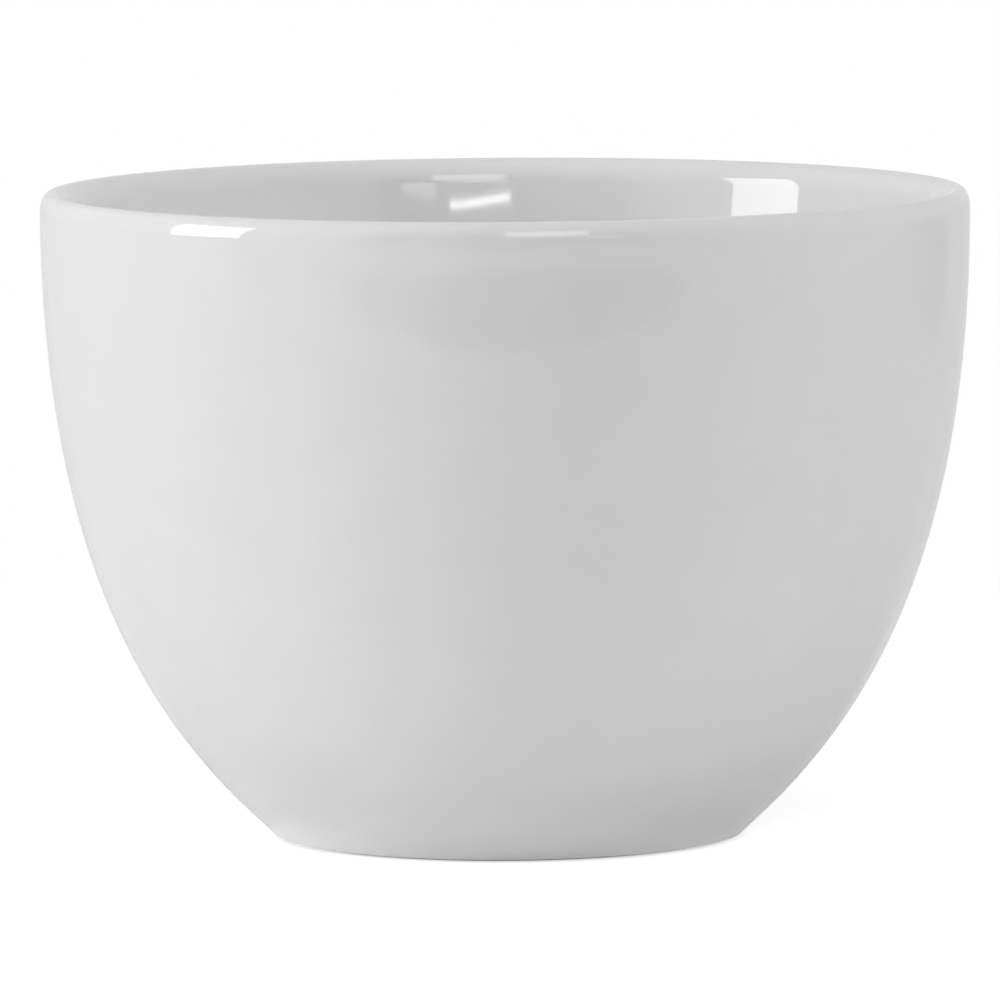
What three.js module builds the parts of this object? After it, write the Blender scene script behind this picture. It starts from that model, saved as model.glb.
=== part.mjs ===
// A handleless bouillon cup: one fired porcelain body under two areas of clear glaze.
// Millimetres, +Z up. The origin is on the table, at the middle of the foot.

import * as THREE from "three";

// Outside of the finished cup, over its glaze
const CUP_DIAMETER = 95.2; // widest, where the rounding of the lip starts
const CUP_HEIGHT = 66.5; // from the table to the crest of the lip
const LIP_WIDTH = 3.1; // through the wall where the inside of the lip starts to round
const LIP_HEIGHT = 2; // rounding of the lip outside, up to the crest
const LIP_DROP = 2.4; // rounding of the lip inside, down from the crest
const LIP_CREST = 1.1; // from the outside in to the crest
const RIM_PULL = 44; // how strongly the outside stays upright below the lip
const FOOT_PULL = 9; // how strongly the outside keeps the flare of the foot
const FOOT_FLARE = 44; // degrees from the table up to the wall at the foot

// Bare foot ring that the cup stands on, and the recess inside it
const FOOT_DIAMETER = 46.6; // where the flare of the bare wall, run on, meets the table
const FOOT_EDGE_RADIUS = 2.5; // rounds the foot into the wall
const RING_WIDTH = 4.6; // between the two edges of the ring, before they are rounded
const RING_EDGE_RADIUS = 0.6; // rounds the inner edge of the ring
const RECESS_DEPTH = 2; // from the table up to the bare underside
const RECESS_SLOPE = 55; // degrees from the table up to the inner side of the ring
const RECESS_FILLET = 1.2; // rounds the inner side of the ring into the underside

// Inside of the cup
const WALL_THICKNESS = 4.6; // bare wall below its taper
const RIM_TAPER = 26; // height below the lip over which the wall thins
const FLOOR_THICKNESS = 5; // bare floor, from the recess up
const COVE_RISE = 7; // height over which the wall rounds into the floor

// Glaze
const GLAZE_THICKNESS = 0.3;
const GLAZE_LINE = 0.4; // from the table up to where the bare foot ends and the glaze starts
const BOND_GAP = 0.02; // between the glaze and the body that it is fired on

// Facets round the cup and along each stretch of its section
const TURN_STEPS = 56;
const WALL_STEPS = 11;
const LIP_STEPS = 4;
const COVE_STEPS = 4;
const EDGE_STEPS = 3;

// Handle of the cubic curve that stands for a quarter of an ellipse, as a share of its radius
const QUARTER_HANDLE = (4 / 3) * Math.tan(Math.PI / 8);

// Halvings of a search along a curve, enough to reach the limit of the numbers
const SEARCH_HALVINGS = 40;

const GLAZE_WHITE = 0xededed;
const BARE_WHITE = 0xe2e2e0;

// A section is drawn as (radius, height), travelling with the body on the left hand

const point = (radius, height) => new THREE.Vector2(radius, height);
const ahead = (start, direction, distance) => start.clone().addScaledVector(direction, distance);
const outward = (direction) => point(direction.y, -direction.x);

function heading(degrees) {
  const angle = THREE.MathUtils.degToRad(degrees);
  return point(Math.cos(angle), Math.sin(angle));
}

const turnBetween = (before, after) => Math.atan2(before.cross(after), before.dot(after));
const cornerReach = (before, after, radius) => radius * Math.tan(Math.abs(turnBetween(before, after)) / 2);

// Arc that rounds the corner of two straight runs, starting at a distance before the corner
function cornerArc(corner, before, after, reach) {
  const turn = turnBetween(before, after);
  const radius = reach / Math.tan(Math.abs(turn) / 2);
  const start = ahead(corner, before, -reach);
  const centre = ahead(start, outward(before), -radius * Math.sign(turn));
  const startAngle = start.clone().sub(centre).angle();
  return new THREE.EllipseCurve(centre.x, centre.y, radius, radius, startAngle, startAngle + turn, turn < 0);
}

function filletArc(corner, before, after, radius) {
  return cornerArc(corner, before, after, cornerReach(before, after, radius));
}

const straight = (fromCurve, toCurve) => new THREE.LineCurve(fromCurve.getPoint(1), toCurve.getPoint(0));

// A stretch of a curve, between two places along it
class Span extends THREE.Curve {
  constructor(curve, start, end) {
    super();
    this.curve = curve;
    this.start = start;
    this.end = end;
  }

  getPoint(t) {
    return this.curve.getPoint(THREE.MathUtils.lerp(this.start, this.end, t));
  }
}

// Underside, from the axis out to the foot's edge

const level = heading(0);
const ringSide = heading(-RECESS_SLOPE);
const flare = heading(FOOT_FLARE);

const footCorner = point(FOOT_DIAMETER / 2, 0);
const ringCorner = point(FOOT_DIAMETER / 2 - RING_WIDTH, 0);
const recessCorner = ahead(ringCorner, ringSide, -RECESS_DEPTH / Math.abs(ringSide.y));

const recessFillet = filletArc(recessCorner, level, ringSide, RECESS_FILLET);
const ringEdge = filletArc(ringCorner, ringSide, level, RING_EDGE_RADIUS);
const footEdge = filletArc(footCorner, level, flare, FOOT_EDGE_RADIUS);
const glazeStart = Math.acos(1 - GLAZE_LINE / FOOT_EDGE_RADIUS) / turnBetween(level, flare);
const bareEdge = new Span(footEdge, 0, glazeStart);
const glazedEdge = new Span(footEdge, glazeStart, 1);
const underside = new THREE.LineCurve(point(0, RECESS_DEPTH), recessFillet.getPoint(0));

// Outside of the wall: one sweep from the flared foot up to the upright rim

const bareRadius = CUP_DIAMETER / 2 - GLAZE_THICKNESS;
const bareHeight = CUP_HEIGHT - GLAZE_THICKNESS;
const lipBase = CUP_HEIGHT - LIP_HEIGHT;
const lipInsideBase = CUP_HEIGHT - LIP_DROP;
const rimWall = LIP_WIDTH - 2 * GLAZE_THICKNESS;

const wallFoot = footEdge.getPoint(1);
const wallRim = point(bareRadius, lipBase);
const outside = new THREE.CubicBezierCurve(
  wallFoot,
  ahead(wallFoot, flare, FOOT_PULL),
  ahead(wallRim, heading(-90), RIM_PULL),
  wallRim,
);

// Inside of the wall: the outside moved in by a thickness that thins towards the lip

function wallThickness(height) {
  const share = THREE.MathUtils.clamp((lipInsideBase - height) / RIM_TAPER, 0, 1);
  return THREE.MathUtils.lerp(rimWall, WALL_THICKNESS, Math.sin((share * Math.PI) / 2));
}

function insidePoint(along) {
  const outer = outside.getPoint(along);
  return ahead(outer, outward(outside.getTangent(along)), -wallThickness(outer.y));
}

// Place along the outside whose inner wall is at the given height
function placeAtHeight(height) {
  let low = 0;
  let high = 1;
  for (let halving = 0; halving < SEARCH_HALVINGS; halving += 1) {
    const middle = (low + high) / 2;
    if (insidePoint(middle).y < height) {
      low = middle;
    } else {
      high = middle;
    }
  }
  return high;
}

class InsideWall extends THREE.Curve {
  constructor(highest, lowest) {
    super();
    this.highest = highest;
    this.lowest = lowest;
  }

  getPoint(t) {
    return insidePoint(THREE.MathUtils.lerp(this.highest, this.lowest, t));
  }
}

const floorHeight = RECESS_DEPTH + FLOOR_THICKNESS;
const inside = new InsideWall(placeAtHeight(lipInsideBase), placeAtHeight(floorHeight + COVE_RISE));

// Lip: a tight quarter ellipse outside, and inside a fuller curve that runs into the tapered wall

const crest = point(CUP_DIAMETER / 2 - LIP_CREST, bareHeight);
const toRim = wallRim.clone().sub(crest);
const insideTop = inside.getPoint(0);
const toInside = insideTop.clone().sub(crest);

const lipOutside = new THREE.EllipseCurve(crest.x, lipBase, toRim.x, -toRim.y, 0, Math.PI / 2);
const lipInside = new THREE.CubicBezierCurve(
  crest,
  ahead(crest, level, QUARTER_HANDLE * toInside.x),
  ahead(insideTop, inside.getTangent(0), QUARTER_HANDLE * toInside.y),
  insideTop,
);

// Cove and floor

const coveTop = inside.getPoint(1);
const coveHeading = inside.getTangent(1);
const coveReach = COVE_RISE / -coveHeading.y;
const cove = cornerArc(ahead(coveTop, coveHeading, coveReach), coveHeading, heading(180), coveReach);
const floor = new THREE.LineCurve(cove.getPoint(1), point(0, floorHeight));

// Stretches of the section with their facet counts: the glazed recess, the bare ring, the glazed rest

const recessStretches = [
  [underside, 1],
  [recessFillet, EDGE_STEPS],
];
const ringStretches = [
  [straight(recessFillet, ringEdge), 1],
  [ringEdge, EDGE_STEPS],
  [straight(ringEdge, footEdge), 1],
  [bareEdge, EDGE_STEPS],
];
const cupStretches = [
  [glazedEdge, EDGE_STEPS],
  [outside, WALL_STEPS],
  [lipOutside, LIP_STEPS],
  [lipInside, LIP_STEPS],
  [inside, WALL_STEPS],
  [cove, COVE_STEPS],
  [floor, 1],
];

// Points along stretches that follow each other, lifted off the body by a distance
function trace(stretches, lift) {
  const points = [];
  for (const [curve, steps] of stretches) {
    const firstStep = points.length > 0 ? 1 : 0;
    for (let step = firstStep; step <= steps; step += 1) {
      const along = step / steps;
      points.push(ahead(curve.getPoint(along), outward(curve.getTangent(along)), lift));
    }
  }
  return points;
}

function turned(name, section, material) {
  const geometry = new THREE.LatheGeometry(section, TURN_STEPS);
  geometry.rotateX(Math.PI / 2);
  const mesh = new THREE.Mesh(geometry, material);
  mesh.name = name;
  return mesh;
}

const barePorcelain = new THREE.MeshStandardMaterial({ color: BARE_WHITE, roughness: 0.6, metalness: 0 });
const clearGlaze = new THREE.MeshStandardMaterial({ color: GLAZE_WHITE, roughness: 0.08, metalness: 0 });

// The body: wall, floor and foot ring, fired as one piece
const bodySection = trace([...recessStretches, ...ringStretches, ...cupStretches], 0);

// The coat: up the outside, over the lip, down the inside and across the floor, open at the foot
const coatSection = [...trace(cupStretches, BOND_GAP).reverse(), ...trace(cupStretches, GLAZE_THICKNESS)];

// The glazed disc in the recess, parted from the coat by the bare ring
const baseSection = [...trace(recessStretches, GLAZE_THICKNESS), ...trace(recessStretches, BOND_GAP).reverse()];

const bouillonCup = new THREE.Group();
bouillonCup.name = "bouillon_cup";
bouillonCup.add(turned("porcelain_body", bodySection, barePorcelain));
bouillonCup.add(turned("glaze_coat", coatSection, clearGlaze));
bouillonCup.add(turned("base_glaze", baseSection, clearGlaze));

export default bouillonCup;
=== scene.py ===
"""A white glazed bouillon cup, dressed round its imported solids. Metres, +Z up, the cup's axis on Z."""

import math

import bmesh
import bpy
from mathutils import Matrix, Vector


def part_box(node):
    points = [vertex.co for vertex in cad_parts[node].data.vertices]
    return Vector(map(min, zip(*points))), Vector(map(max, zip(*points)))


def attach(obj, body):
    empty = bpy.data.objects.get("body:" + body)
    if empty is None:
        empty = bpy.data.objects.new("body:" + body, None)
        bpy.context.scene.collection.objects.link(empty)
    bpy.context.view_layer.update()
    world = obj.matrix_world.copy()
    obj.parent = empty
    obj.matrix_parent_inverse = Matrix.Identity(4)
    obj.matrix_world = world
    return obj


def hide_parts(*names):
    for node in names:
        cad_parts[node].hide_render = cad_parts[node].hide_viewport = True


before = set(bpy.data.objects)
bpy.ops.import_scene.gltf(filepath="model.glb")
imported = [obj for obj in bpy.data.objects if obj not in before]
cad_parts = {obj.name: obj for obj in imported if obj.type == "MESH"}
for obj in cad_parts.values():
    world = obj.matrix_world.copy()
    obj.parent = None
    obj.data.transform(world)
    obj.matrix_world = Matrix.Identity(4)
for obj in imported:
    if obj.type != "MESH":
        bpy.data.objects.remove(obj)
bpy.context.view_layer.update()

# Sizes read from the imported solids: the cup over its glaze, and its bare body
CUP_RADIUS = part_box("glaze_coat")[1].x
CUP_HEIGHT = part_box("glaze_coat")[1].z
BARE_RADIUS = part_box("porcelain_body")[1].x
BARE_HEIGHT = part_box("porcelain_body")[1].z
GLAZE_THICKNESS = CUP_RADIUS - BARE_RADIUS

# Outside of the cup. These sizes and the next ones are the solids' too, but their boxes don't give them.
LIP_WIDTH = 0.0031  # through the wall where the inside of the lip starts to round
LIP_HEIGHT = 0.002  # rounding of the lip outside, up to the crest
LIP_DROP = 0.0024  # rounding of the lip inside, down from the crest
LIP_CREST = 0.0011  # from the outside in to the crest
RIM_PULL = 0.044  # how strongly the outside stays upright below the lip
FOOT_PULL = 0.009  # how strongly the outside keeps the flare of the foot
FOOT_FLARE = math.radians(44)  # from the table up to the wall at the foot

# Bare foot ring that the cup stands on, and the recess inside it
FOOT_DIAMETER = 0.0466  # where the flare of the bare wall, run on, meets the table
FOOT_EDGE_RADIUS = 0.0025  # rounds the foot into the wall
RING_WIDTH = 0.0046  # between the two edges of the ring, before they are rounded
RING_EDGE_RADIUS = 0.0006  # rounds the inner edge of the ring
RECESS_DEPTH = 0.002  # from the table up to the bare underside
RECESS_SLOPE = math.radians(55)  # from the table up to the inner side of the ring
RECESS_FILLET = 0.0012  # rounds the inner side of the ring into the underside

# Inside of the cup
WALL_THICKNESS = 0.0046  # bare wall below its taper
RIM_TAPER = 0.026  # height below the lip over which the wall thins
FLOOR_THICKNESS = 0.005  # bare floor, from the recess up
COVE_RISE = 0.007  # height over which the wall rounds into the floor

# Glaze. The solids have all of these sizes but the rounded edge.
GLAZE_LINE = 0.0004  # from the table up to where the bare foot ends and the glaze starts
GLAZE_EDGE = 0.0004  # length over which the glaze rounds down to the bare foot
BOND_GAP = 0.00002  # between the glaze and the body that it is fired on

# Fineness of the turned pieces: steps round the cup and along each stretch of its section
TURN_STEPS = 192
WALL_STEPS = 64
LIP_STEPS = 16
COVE_STEPS = 20
EDGE_STEPS = 10
FOOT_STEPS = 24
FLOOR_STEPS = 6
RIM_CLOSENESS = 1.6  # crowds the steps of the wall towards the lip
SEARCH_HALVINGS = 40  # enough to find a place along a curve
MERGE_DISTANCE = 1e-7  # between corners that the turning leaves in one place

# Handle of the cubic that stands for a quarter of an ellipse, as a share of its radius
QUARTER_HANDLE = (4 / 3) * math.tan(math.pi / 8)


# The section, in the XZ plane, travelling with the body on the left hand

def at(radius, height):
    return Vector((radius, 0.0, height))


def heading(angle):
    return Vector((math.cos(angle), 0.0, math.sin(angle)))


def outward(direction):
    return Vector((direction.z, 0.0, -direction.x))


def turn_between(before, after):
    return math.atan2(before.x * after.z - before.z * after.x, before.dot(after))


def corner_arc(corner, before, after, reach, steps):
    """Points of the arc that rounds a corner, starting at a distance before it."""
    turn = turn_between(before, after)
    radius = reach / math.tan(abs(turn) / 2)
    start = corner - reach * before
    centre = start - math.copysign(radius, turn) * outward(before)
    return [
        centre + Matrix.Rotation(-turn * step / steps, 3, "Y") @ (start - centre)
        for step in range(steps + 1)
    ]


def fillet_arc(corner, before, after, radius, steps):
    reach = radius * math.tan(abs(turn_between(before, after)) / 2)
    return corner_arc(corner, before, after, reach, steps)


def straight(start, end, steps):
    return [start.lerp(end, step / steps) for step in range(steps + 1)]


class Sweep:
    """A cubic curve of the section, given by its ends and the points that pull it."""

    def __init__(self, start, start_pull, end_pull, end):
        self.controls = (start, start_pull, end_pull, end)

    def point(self, along):
        start, start_pull, end_pull, end = self.controls
        back = 1 - along
        return (
            back**3 * start
            + 3 * back**2 * along * start_pull
            + 3 * back * along**2 * end_pull
            + along**3 * end
        )

    def heading(self, along):
        start, start_pull, end_pull, end = self.controls
        back = 1 - along
        travel = (
            back**2 * (start_pull - start)
            + 2 * back * along * (end_pull - start_pull)
            + along**2 * (end - end_pull)
        )
        return travel.normalized()

    def points(self, steps, closeness=1.0):
        """Points along the curve, crowded towards its end where the closeness is over 1."""
        return [self.point(1 - (1 - step / steps) ** closeness) for step in range(steps + 1)]


def joined(*stretches):
    """The points of stretches that follow each other, with shared ends kept once."""
    points = list(stretches[0])
    for stretch in stretches[1:]:
        points.extend(stretch[1:])
    return points


def headings(points):
    """The direction of travel at each point."""
    before = [points[0]] + points[:-1]
    after = points[1:] + [points[-1]]
    return [(last - first).normalized() for first, last in zip(before, after)]


def lifted(points, lifts):
    """Points moved out of the body, each by its own distance."""
    return [
        spot + outward(travel) * lift
        for spot, travel, lift in zip(points, headings(points), lifts)
    ]


LEVEL = heading(0.0)
INWARD = heading(math.pi)
DOWN = heading(-math.pi / 2)
FLARE = heading(FOOT_FLARE)
RING_SIDE = heading(-RECESS_SLOPE)

LIP_INSIDE = CUP_HEIGHT - LIP_DROP
RIM_WALL = LIP_WIDTH - 2 * GLAZE_THICKNESS
FLOOR_HEIGHT = RECESS_DEPTH + FLOOR_THICKNESS

FOOT_CORNER = at(FOOT_DIAMETER / 2, 0.0)
RING_CORNER = at(FOOT_DIAMETER / 2 - RING_WIDTH, 0.0)
RIM = at(BARE_RADIUS, CUP_HEIGHT - LIP_HEIGHT)
CREST = at(CUP_RADIUS - LIP_CREST, BARE_HEIGHT)


def recess_section():
    """From the axis, along the underside, to where the foot ring goes bare."""
    recess_corner = RING_CORNER - RING_SIDE * (RECESS_DEPTH / math.sin(RECESS_SLOPE))
    fillet = fillet_arc(recess_corner, LEVEL, RING_SIDE, RECESS_FILLET, EDGE_STEPS)
    return joined(straight(at(0.0, RECESS_DEPTH), fillet[0], FLOOR_STEPS), fillet)


def ring_section(start, end):
    """The bare foot ring, from the recess to the rounding of its outer edge."""
    inner_edge = fillet_arc(RING_CORNER, RING_SIDE, LEVEL, RING_EDGE_RADIUS, EDGE_STEPS)
    return [start, *inner_edge, end]


def foot_edge_section():
    """The rounding of the foot into the wall."""
    return fillet_arc(FOOT_CORNER, LEVEL, FLARE, FOOT_EDGE_RADIUS, FOOT_STEPS)


def outside_sweep(foot):
    """The outside of the wall: one sweep from the flared foot up to the upright rim."""
    return Sweep(foot, foot + FLARE * FOOT_PULL, RIM + DOWN * RIM_PULL, RIM)


def wall_thickness(height):
    """The bare wall's thickness, which thins towards the lip."""
    share = min(max((LIP_INSIDE - height) / RIM_TAPER, 0.0), 1.0)
    return RIM_WALL + (WALL_THICKNESS - RIM_WALL) * math.sin(share * math.pi / 2)


def inside_point(outside, along):
    outer = outside.point(along)
    return outer - outward(outside.heading(along)) * wall_thickness(outer.z)


def place_at_height(outside, height):
    """Place along the outside whose inner wall is at the given height."""
    low = 0.0
    high = 1.0
    for _ in range(SEARCH_HALVINGS):
        middle = (low + high) / 2
        if inside_point(outside, middle).z < height:
            low = middle
        else:
            high = middle
    return high


def inside_section(outside):
    """The inner wall, from the lip down to the cove."""
    highest = place_at_height(outside, LIP_INSIDE)
    lowest = place_at_height(outside, FLOOR_HEIGHT + COVE_RISE)
    shares = [(step / WALL_STEPS) ** RIM_CLOSENESS for step in range(WALL_STEPS + 1)]
    return [inside_point(outside, highest + (lowest - highest) * share) for share in shares]


def lip_section(inside):
    """Over the lip, from the outside to the top of the inner wall."""
    top = inside[0]
    top_heading = (inside[1] - top).normalized()
    outer = Sweep(
        RIM,
        RIM - DOWN * QUARTER_HANDLE * (CREST.z - RIM.z),
        CREST + LEVEL * QUARTER_HANDLE * (RIM.x - CREST.x),
        CREST,
    )
    inner = Sweep(
        CREST,
        CREST + INWARD * QUARTER_HANDLE * (CREST.x - top.x),
        top - top_heading * QUARTER_HANDLE * (CREST.z - top.z),
        top,
    )
    return joined(outer.points(LIP_STEPS), inner.points(LIP_STEPS))


def floor_section(inside):
    """The cove at the bottom of the inner wall, and the floor to the axis."""
    cove_heading = (inside[-1] - inside[-2]).normalized()
    reach = COVE_RISE / -cove_heading.z
    cove = corner_arc(inside[-1] + cove_heading * reach, cove_heading, INWARD, reach, COVE_STEPS)
    return joined(cove, straight(cove[-1], at(0.0, FLOOR_HEIGHT), FLOOR_STEPS))


def glaze_lifts(points):
    """How far the glaze stands off the body: its full thickness, rounded down at the first point."""
    lifts = []
    travelled = 0.0
    previous = points[0]
    for spot in points:
        travelled += (spot - previous).length
        previous = spot
        share = min(travelled / GLAZE_EDGE, 1.0)
        rise = math.sqrt(1 - (1 - share) ** 2)
        lifts.append(BOND_GAP + (GLAZE_THICKNESS - BOND_GAP) * rise)
    return lifts


# The pieces, turned from the section

def add_object(name, data):
    """A new object at the origin, put into the scene."""
    added = bpy.data.objects.new(name, data)
    bpy.context.scene.collection.objects.link(added)
    return added


def add_mesh_object(name, form):
    """An object whose mesh is a finished form."""
    mesh = bpy.data.meshes.new(name)
    form.to_mesh(mesh)
    form.free()
    return add_object(name, mesh)


def turned_piece(name, section):
    """A closed piece turned from a section that starts and ends on the axis."""
    form = bmesh.new()
    corners = [form.verts.new(spot) for spot in section]
    edges = [form.edges.new(pair) for pair in zip(corners, corners[1:])]
    bmesh.ops.spin(
        form, geom=corners + edges, cent=(0, 0, 0), axis=(0, 0, 1),
        angle=math.tau, steps=TURN_STEPS, use_merge=True,
    )
    bmesh.ops.remove_doubles(form, verts=form.verts[:], dist=MERGE_DISTANCE)
    bmesh.ops.recalc_face_normals(form, faces=form.faces[:])
    for face in form.faces:
        face.smooth = True
    return add_mesh_object(name, form)


def cup_pieces():
    """The bare body, the coat of glaze over it, and the glaze in the recess."""
    recess = recess_section()
    foot_edge = foot_edge_section()
    ring = ring_section(recess[-1], foot_edge[0])
    outside = outside_sweep(foot_edge[-1])
    wall = outside.points(WALL_STEPS, RIM_CLOSENESS)
    inside = inside_section(outside)
    lip = lip_section(inside)
    floor = floor_section(inside)
    body_section = joined(recess, ring, foot_edge, wall, lip, inside, floor)

    glazed_edge = [spot for spot in foot_edge if spot.z >= GLAZE_LINE]
    coated = joined(glazed_edge, wall, lip, inside, floor)
    under_coat = lifted(coated, [BOND_GAP] * len(coated))
    coat_section = joined(under_coat[::-1], lifted(coated, glaze_lifts(coated)))

    under_base = lifted(recess, [BOND_GAP] * len(recess))
    base_lifts = glaze_lifts(recess[::-1])[::-1]
    base_section = joined(lifted(recess, base_lifts), under_base[::-1])

    return (
        turned_piece("cup_body", body_section),
        turned_piece("cup_glaze", coat_section),
        turned_piece("cup_base_glaze", base_section),
    )


# Shader nodes

NOISE_LOW = 0.25  # the middle half of a noise, where most of it lies
NOISE_HIGH = 0.75


def feed(tree, node, *inputs, **named):
    """Link a node's first inputs, and those that are named, to outputs, or set them to values."""
    pairs = list(zip(node.inputs, inputs))
    pairs += [(node.inputs[name.replace("_", " ")], value) for name, value in named.items()]
    for socket, value in pairs:
        if isinstance(value, bpy.types.NodeSocket):
            tree.links.new(value, socket)
        else:
            socket.default_value = value


def add_node(tree, kind, *inputs, **named):
    node = tree.nodes.new(kind)
    feed(tree, node, *inputs, **named)
    return node


def new_material(name):
    material = bpy.data.materials.new(name)
    material.use_nodes = True
    tree = material.node_tree
    return material, tree, tree.nodes["Principled BSDF"]


def object_place(tree):
    return add_node(tree, "ShaderNodeTexCoord").outputs["Object"]


def object_noise(tree, feature, detail):
    """Noise fixed to the cup, with features of a size in metres."""
    noise = add_node(tree, "ShaderNodeTexNoise", object_place(tree), Scale=1 / feature, Detail=detail)
    return noise.outputs["Fac"]


def blend(tree, value, start, end, low, high, smooth=False):
    """From the low level to the high one, as a value goes from the start to the end."""
    ramp = add_node(
        tree, "ShaderNodeMapRange", value, From_Min=start, From_Max=end, To_Min=low, To_Max=high,
    )
    if smooth:
        ramp.interpolation_type = "SMOOTHSTEP"
    return ramp.outputs["Result"]


def levels(tree, noise, low, high):
    """Two levels blended by the middle half of a noise."""
    return blend(tree, noise, NOISE_LOW, NOISE_HIGH, low, high)


def tones(tree, noise, low, high):
    """Two colours blended by the middle half of a noise."""
    ramp = add_node(tree, "ShaderNodeValToRGB", noise)
    first, last = ramp.color_ramp.elements
    first.position = NOISE_LOW
    first.color = low
    last.position = NOISE_HIGH
    last.color = high
    return ramp.outputs["Color"]


def relief(tree, value, height, under=None):
    """Bumps of a height in metres, on top of others where there are some."""
    bump = add_node(tree, "ShaderNodeBump", Height=value, Distance=height)
    if under is not None:
        feed(tree, bump, Normal=under)
    return bump.outputs["Normal"]


# Clear glaze: colours, features and reliefs in metres, and roughness
GLAZE_DEEP = (0.86, 0.86, 0.86, 1.0)
GLAZE_PALE = (0.88, 0.88, 0.88, 1.0)
GLAZE_CLOUD = 0.006
GLAZE_CLOUD_DETAIL = 4.0
GLAZE_WAVE = 0.009
GLAZE_WAVE_DETAIL = 1.0
GLAZE_WAVE_RELIEF = 5e-6
GLAZE_PEEL = 0.0009
GLAZE_PEEL_DETAIL = 2.0
GLAZE_PEEL_RELIEF = 3e-7
GLAZE_SMOOTHEST = 0.03
GLAZE_DULLEST = 0.06


def white_glaze():
    """Clear glaze over white: faint clouds where its depth varies, a slow wave and a fine peel."""
    material, tree, shader = new_material("white_glaze")
    cloud = object_noise(tree, GLAZE_CLOUD, GLAZE_CLOUD_DETAIL)
    wave = object_noise(tree, GLAZE_WAVE, GLAZE_WAVE_DETAIL)
    peel = object_noise(tree, GLAZE_PEEL, GLAZE_PEEL_DETAIL)
    waved = relief(tree, wave, GLAZE_WAVE_RELIEF)
    feed(
        tree, shader,
        Base_Color=tones(tree, cloud, GLAZE_DEEP, GLAZE_PALE),
        Roughness=levels(tree, wave, GLAZE_SMOOTHEST, GLAZE_DULLEST),
        Normal=relief(tree, peel, GLAZE_PEEL_RELIEF, waved),
    )
    return material


# Bare porcelain: colours, features and relief in metres, and roughness
BARE_DEEP = (0.71, 0.71, 0.69, 1.0)
BARE_PALE = (0.82, 0.82, 0.81, 1.0)
BARE_SCUFF = 0.003
BARE_SCUFF_DETAIL = 6.0
BARE_GRAIN = 0.00025
BARE_GRAIN_DETAIL = 3.0
BARE_GRAIN_RELIEF = 1e-5
BARE_SMOOTHEST = 0.5
BARE_DULLEST = 0.7


def bare_porcelain():
    """Polished bare porcelain: a fine matt grain, darker in patches where the foot is scuffed."""
    material, tree, shader = new_material("bare_porcelain")
    scuff = object_noise(tree, BARE_SCUFF, BARE_SCUFF_DETAIL)
    grain = object_noise(tree, BARE_GRAIN, BARE_GRAIN_DETAIL)
    feed(
        tree, shader,
        Base_Color=tones(tree, scuff, BARE_DEEP, BARE_PALE),
        Roughness=levels(tree, grain, BARE_SMOOTHEST, BARE_DULLEST),
        Normal=relief(tree, grain, BARE_GRAIN_RELIEF),
    )
    return material


# Camera, from a fit of the cup's outline to the photograph
CAMERA_DISTANCE = 1.25
CAMERA_ELEVATION = math.radians(5.517)
CAMERA_AIM = Vector((-0.000693, 0.0, 0.034478))
CAMERA_ROLL = math.radians(0.36)
FOCAL_PIXELS = 12179
IMAGE_PIXELS = 1000
SENSOR_WIDTH = 36.0  # millimetres


def studio_direction(azimuth, elevation):
    """A direction seen from the cup: azimuth from the camera's side, positive to the right."""
    level_part = math.cos(elevation)
    across = math.sin(azimuth) * level_part
    away = -math.cos(azimuth) * level_part
    return Vector((across, away, math.sin(elevation)))


def photo_camera():
    camera = bpy.data.cameras.new("photo_camera")
    camera.sensor_width = SENSOR_WIDTH
    camera.lens = FOCAL_PIXELS / IMAGE_PIXELS * SENSOR_WIDTH
    rig = add_object("photo_camera", camera)
    place = CAMERA_AIM + studio_direction(0.0, CAMERA_ELEVATION) * CAMERA_DISTANCE
    tilt = Matrix.Rotation(math.pi / 2 - CAMERA_ELEVATION, 4, "X")
    roll = Matrix.Rotation(-CAMERA_ROLL, 4, "Z")
    rig.matrix_world = Matrix.Translation(place) @ tilt @ roll
    bpy.context.scene.camera = rig


# Softboxes: azimuth, elevation and tilt in degrees; distance, width and height in metres; watts.
# The shown ones light the cup and are mirrored in its glaze. The hidden ones only light it.
SHOWN_SOFTBOXES = {
    "key_left": (-77.5, 13.2, 0.0, 1.0, 0.388, 0.5, 3.72),
    "front_strip": (6.8, 14.0, 1.0, 1.2, 0.35, 0.0095, 0.155),
    "front_panel": (23.6, 11.65, -4.7, 1.2, 0.19, 0.07, 0.115),
    "front_soft": (10.5, 25.5, 0.0, 1.2, 0.4, 0.36, 1.6),
}
HIDDEN_SOFTBOXES = {
    "fill_right": (85.0, 25.0, 0.0, 1.3, 0.9, 0.5, 3.95),
    "fill_front": (45.0, 12.0, 0.0, 1.3, 0.6, 0.35, 0.32),
    "fill_left": (-84.0, 14.0, 0.0, 1.0, 0.4, 0.5, 0.48),
    "left_high": (-75.0, 50.0, 0.0, 1.2, 0.5, 0.5, 1.4),
    "top": (0.0, 85.0, 0.0, 1.2, 0.6, 0.6, 2.4),
}
CUP_MIDDLE = Vector((0.0, 0.0, CUP_HEIGHT / 2))


def softbox(name, azimuth, elevation, tilt, distance, width, height, watts):
    """A lamp that faces the middle of the cup, and that the camera doesn't see."""
    light = bpy.data.lights.new(name, "AREA")
    light.shape = "RECTANGLE"
    light.size = width
    light.size_y = height
    light.energy = watts
    lamp = add_object(name, light)
    toward = studio_direction(math.radians(azimuth), math.radians(elevation))
    facing = (-toward).to_track_quat("-Z", "Y").to_matrix()
    lamp.location = CUP_MIDDLE + toward * distance
    lamp.rotation_euler = (facing @ Matrix.Rotation(math.radians(tilt), 3, "Z")).to_euler()
    lamp.visible_camera = False
    return lamp


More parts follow.
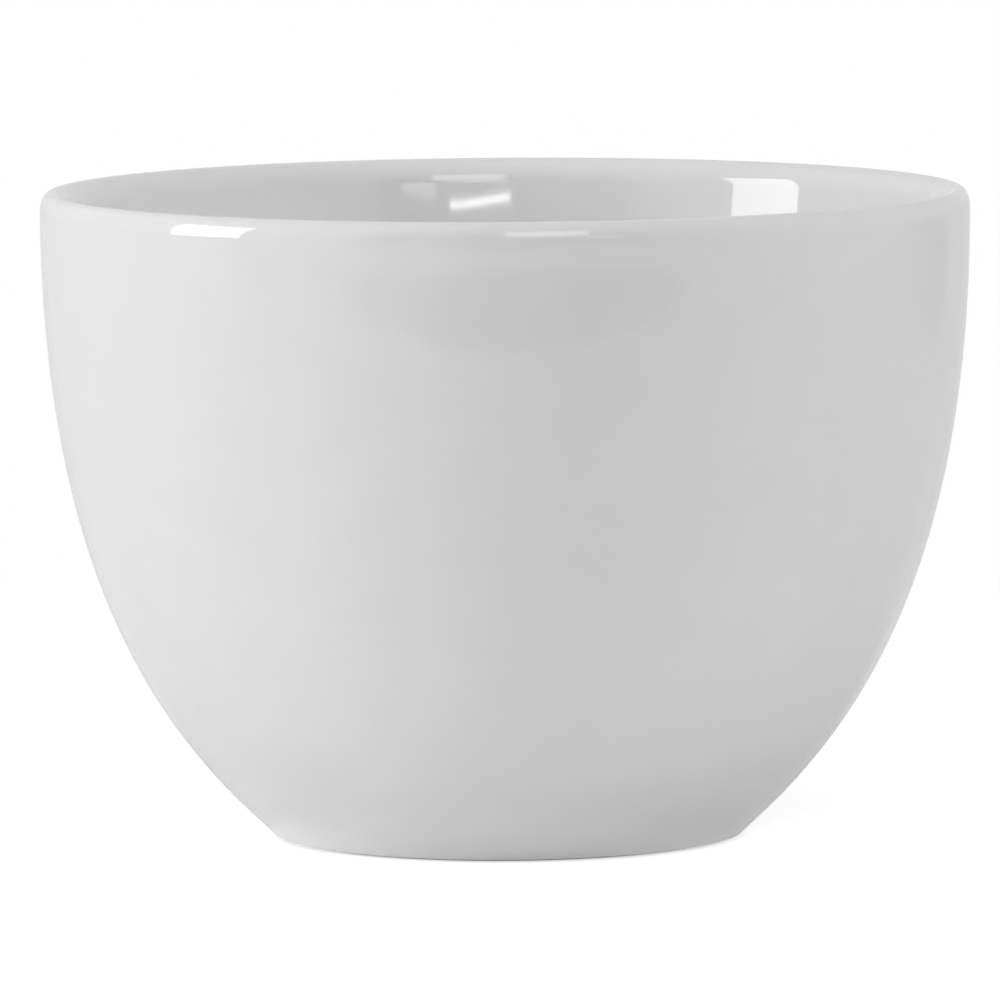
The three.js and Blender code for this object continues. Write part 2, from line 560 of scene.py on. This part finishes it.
def studio_lamps():
    for name, setting in SHOWN_SOFTBOXES.items():
        softbox(name, *setting)
    for name, setting in HIDDEN_SOFTBOXES.items():
        softbox(name, *setting).visible_glossy = False


# Floor: lit near the cup, where it takes the shadow, and white further off
FLOOR_REACH = 4.0  # half of the floor's side
FLOOR_FRONT = 0.8  # from the cup's axis to the floor's front edge
FLOOR_LEVEL = -0.00002  # a hair under the foot, so that the two faces don't share a plane
FLOOR_WHITE = (0.9, 0.9, 0.9, 1.0)
FLOOR_GLOW = 0.6  # lifts the lit floor for the camera
AXIS_PLACE = (0.0, 0.0, 0.0)  # where the cup's axis meets the floor
FADE_START = 0.12  # from the axis to where the lit floor starts to fade into the white one
FADE_END = 0.27  # from the axis to where the floor is all white

# The floor as the glaze shows it
GLOSS_GLOW = 0.2  # lifts the lit floor
FOOT_GLOW = 0.75  # painted light: lifts it in a round patch at the foot, where the cup shades it, so that the glaze shows a lighter floor there than its lamps give
FOOT_PLACE = (-0.0015, -0.006, 0.0)  # middle of that patch
FOOT_START = 0.02  # from there to where the patch starts to fade
FOOT_END = 0.025  # from there to where it has faded
GLOSS_WHITE = 0.75  # level of the white floor

# Ovals of shade on the white floor, as the glaze shows them: middle, turn, half sizes and level
SHADES = (
    ((0.035, -0.445), 0.0, (0.335, 0.165), 0.05),
    ((1.031, 0.791), math.radians(37.5), (0.9, 0.165), 0.55),
)
SHADE_EDGE = 0.08  # half of the width of a shade's soft edge, as a share of its half sizes

# World
WORLD_WHITE = (1.0, 1.0, 1.0, 1.0)
AMBIENT = 0.205  # level of the light from all round
GLOSS_SKY = 0.8  # level of what is above the floor, as the glaze shows it
ROOM_LEVEL = 0.15  # level of the unlit room behind the camera, as the glaze shows it
ROOM_SPREAD = math.radians(34)  # from the middle of that room to where it starts to fade
ROOM_FADE = math.radians(6)  # over which it fades into the sky


def ray_kind(tree, name):
    """1 for rays of one kind, and 0 for the rest."""
    return add_node(tree, "ShaderNodeLightPath").outputs[name]


def seen_rays(tree):
    """1 for rays that show the background: from the camera, a gloss or a clear piece."""
    seen = ray_kind(tree, "Is Camera Ray")
    for name in ("Is Glossy Ray", "Is Transmission Ray"):
        larger = add_node(tree, "ShaderNodeMath", seen, ray_kind(tree, name))
        larger.operation = "MAXIMUM"
        seen = larger.outputs["Value"]
    return seen


def by_ray(tree, rays, others, these):
    """One level for the other rays, and one for these."""
    return blend(tree, rays, 0.0, 1.0, others, these)


def floor_distance(tree, middle):
    distance = add_node(tree, "ShaderNodeVectorMath", object_place(tree), middle)
    distance.operation = "DISTANCE"
    return distance.outputs["Value"]


def shaded_gloss(tree):
    """Level of the white floor in the glaze: even, but for the ovals of shade."""
    level = GLOSS_WHITE
    for middle, turn, half_sizes, shade in SHADES:
        oval = add_node(
            tree, "ShaderNodeMapping", object_place(tree),
            Location=(*middle, 0.0), Rotation=(0.0, 0.0, turn), Scale=(*half_sizes, 1.0),
        )
        oval.vector_type = "TEXTURE"
        share = add_node(tree, "ShaderNodeVectorMath", oval.outputs["Vector"])
        share.operation = "LENGTH"
        level = blend(
            tree, share.outputs["Value"], 1 - SHADE_EDGE, 1 + SHADE_EDGE, shade, level, smooth=True,
        )
    return level


def lit_floor(tree, matt, seen, camera):
    """Matt floor that takes the shadow, with a glow that shows but doesn't light the cup."""
    # Painted light: near the foot the glaze shows a brighter patch of floor than the lamps light there
    in_gloss = blend(tree, floor_distance(tree, FOOT_PLACE), FOOT_START, FOOT_END, FOOT_GLOW, GLOSS_GLOW)
    level = by_ray(tree, seen, 0.0, by_ray(tree, camera, in_gloss, FLOOR_GLOW))
    glow = add_node(tree, "ShaderNodeEmission", Strength=level)
    return add_node(tree, "ShaderNodeAddShader", matt, glow.outputs["Emission"]).outputs["Shader"]


def white_floor(tree, matt, seen, camera):
    """Matt floor that shows as pure white to the camera, and at its own level in the glaze."""
    level = by_ray(tree, camera, shaded_gloss(tree), 1.0)
    white = add_node(tree, "ShaderNodeEmission", Strength=level)
    return add_node(tree, "ShaderNodeMixShader", seen, matt, white.outputs["Emission"]).outputs["Shader"]


def floor_finish():
    """The lit floor near the cup, faded into the white one."""
    material, tree, shader = new_material("studio_floor")
    tree.nodes.remove(shader)
    seen = seen_rays(tree)
    camera = ray_kind(tree, "Is Camera Ray")
    matt = add_node(tree, "ShaderNodeBsdfDiffuse", Color=FLOOR_WHITE).outputs["BSDF"]
    near = lit_floor(tree, matt, seen, camera)
    far = white_floor(tree, matt, seen, camera)
    fade = blend(tree, floor_distance(tree, AXIS_PLACE), FADE_START, FADE_END, 0.0, 1.0, smooth=True)
    whole = add_node(tree, "ShaderNodeMixShader", fade, near, far)
    feed(tree, tree.nodes["Material Output"], Surface=whole.outputs["Shader"])
    return material


def studio_floor():
    form = bmesh.new()
    bmesh.ops.create_grid(form, x_segments=1, y_segments=1, size=FLOOR_REACH)
    bmesh.ops.translate(form, verts=form.verts[:], vec=(0.0, FLOOR_REACH - FLOOR_FRONT, FLOOR_LEVEL))
    floor = add_mesh_object("studio_floor", form)
    floor.data.materials.append(floor_finish())


def studio_world():
    """White where it shows and dim as light, with levels of its own in the glaze."""
    world = bpy.data.worlds.new("studio_world")
    world.use_nodes = True
    tree = world.node_tree
    direction = add_node(tree, "ShaderNodeTexCoord").outputs["Generated"]
    away = add_node(tree, "ShaderNodeSeparateXYZ", direction).outputs["Y"]
    room_start = -math.cos(ROOM_SPREAD)
    room_end = -math.cos(ROOM_SPREAD + ROOM_FADE)
    in_gloss = blend(tree, away, room_start, room_end, ROOM_LEVEL, GLOSS_SKY, smooth=True)
    elsewhere = by_ray(tree, seen_rays(tree), AMBIENT, 1.0)
    level = by_ray(tree, ray_kind(tree, "Is Glossy Ray"), elsewhere, in_gloss)
    feed(tree, tree.nodes["Background"], Color=WORLD_WHITE, Strength=level)
    bpy.context.scene.world = world


body, coat, base = cup_pieces()
glaze_finish = white_glaze()
bare_finish = bare_porcelain()
for piece, node, slot, finish in (
    (body, "porcelain_body", "bare_porcelain", bare_finish),
    (coat, "glaze_coat", "white_glaze", glaze_finish),
    (base, "base_glaze", "white_glaze", glaze_finish),
):
    piece.data.materials.append(finish)
    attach(piece, "root")
    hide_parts(node)

bpy.context.scene.view_settings.view_transform = "Standard"
photo_camera()
studio_floor()
studio_world()
studio_lamps()
